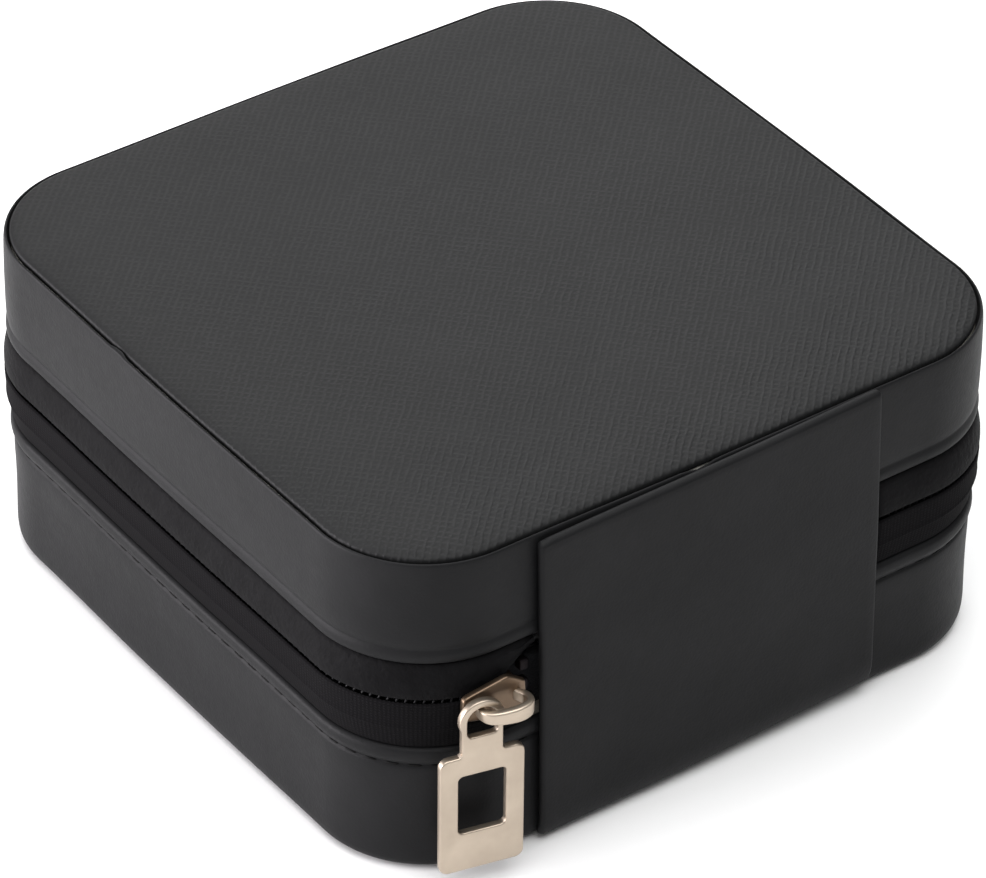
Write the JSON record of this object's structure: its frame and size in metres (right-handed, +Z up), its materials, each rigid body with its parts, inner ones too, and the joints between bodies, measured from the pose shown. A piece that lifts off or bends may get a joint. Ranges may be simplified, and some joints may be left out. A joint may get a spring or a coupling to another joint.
{
  "type": "jewelry box",
  "caption": "Small square zip-up travel jewelry box with a hinged lid, ring rolls, lift-out dividers, necklace straps and a lid pocket.",
  "frame": {"origin": "centre of the case's underside, on the surface it stands on", "axes": "+Z up, +Y towards the back with the hinge panel and the zip slider, -Y the front that opens"},
  "size_m": [0.101, 0.1061, 0.05],
  "materials": {
    "smooth_leather": "smooth matt grain",
    "saffiano_leather": "cross-hatched, satin",
    "board": "matt",
    "foam": "matt",
    "velvet": "short pile",
    "zip_tape": "woven",
    "zip_coil": "satin",
    "elastic": "ribbed",
    "pull_metal": "pale gold plating, polished",
    "slider_metal": "bronze plating, satin"
  },
  "bodies": {
    "base": {"base_board": "board", "base_cover": "smooth_leather", "base_bottom_panel": "smooth_leather", "base_liner": "velvet", "base_floor": "velvet", "tray_partition": "velvet", "ring_roll_1": "velvet", "ring_roll_2": "velvet", "ring_roll_3": "velvet", "ring_roll_4": "velvet", "ring_roll_5": "velvet", "ring_roll_6": "velvet", "ring_roll_7": "velvet", "zip_tape_lower": "zip_tape", "zip_coil_lower": "zip_coil", "zip_top_stop_lower": "slider_metal", "zip_bottom_stop": "slider_metal", "hinge_panel_base_half": "smooth_leather"},
    "lid": {"hinge_panel_lid_half": "smooth_leather", "lid_board": "board", "lid_cover": "smooth_leather", "lid_padding": "foam", "lid_top_panel": "saffiano_leather", "lid_liner": "velvet", "lid_ceiling": "velvet", "zip_tape_upper": "zip_tape", "zip_coil_upper": "zip_coil", "zip_top_stop_upper": "slider_metal", "pocket_panel": "velvet", "pocket_elastic": "elastic", "necklace_bar": "smooth_leather", "snap_stud_1": "pull_metal", "snap_stud_2": "pull_metal", "snap_stud_3": "pull_metal"},
    "front_divider": {"divider_front": "velvet"},
    "back_divider": {"divider_back": "velvet"},
    "strap_1": {"necklace_strap_1": "smooth_leather", "snap_cap_1": "pull_metal"},
    "strap_2": {"necklace_strap_2": "smooth_leather", "snap_cap_2": "pull_metal"},
    "strap_3": {"necklace_strap_3": "smooth_leather", "snap_cap_3": "pull_metal"},
    "slider": {"slider_body": "slider_metal", "slider_bridge": "pull_metal"},
    "pull": {"pull_tab": "pull_metal"}
  },
  "joints": [
    {"name": "lid_hinge", "type": "hinge", "parent": "base", "child": "lid", "pos_m": [0.00175, 0.05065, 0.028], "axis": [-1, 0, 0], "range_deg": [0, 90], "deforming": ["zip_tape_upper", "zip_coil_upper"]},
    {"name": "front_divider_lift", "type": "slide", "parent": "base", "child": "front_divider", "axis": [0, 0, 1], "range_m": [0, 0.018]},
    {"name": "back_divider_lift", "type": "slide", "parent": "base", "child": "back_divider", "axis": [0, 0, 1], "range_m": [0, 0.018]},
    {"name": "strap_1_flap", "type": "hinge", "parent": "lid", "child": "strap_1", "pos_m": [-0.024, -0.0393, 0.04205], "axis": [-1, 0, 0], "range_deg": [0, 80]},
    {"name": "strap_2_flap", "type": "hinge", "parent": "lid", "child": "strap_2", "pos_m": [0, -0.0393, 0.04205], "axis": [-1, 0, 0], "range_deg": [0, 80]},
    {"name": "strap_3_flap", "type": "hinge", "parent": "lid", "child": "strap_3", "pos_m": [0.024, -0.0393, 0.04205], "axis": [-1, 0, 0], "range_deg": [0, 80]},
    {"name": "slider_travel", "type": "hinge", "parent": "base", "child": "slider", "pos_m": [0.034, 0.034, 0.0277], "axis": [0, 0, -1], "range_deg": [0, 78], "deforming": ["zip_tape_upper", "zip_coil_upper", "zip_tape_lower", "zip_coil_lower"]},
    {"name": "pull_swing", "type": "hinge", "parent": "slider", "child": "pull", "pos_m": [0.03849, 0.05279, 0.0277], "axis": [-0.225, -0.9744, 0], "range_deg": [-30, 80]}
  ]
}
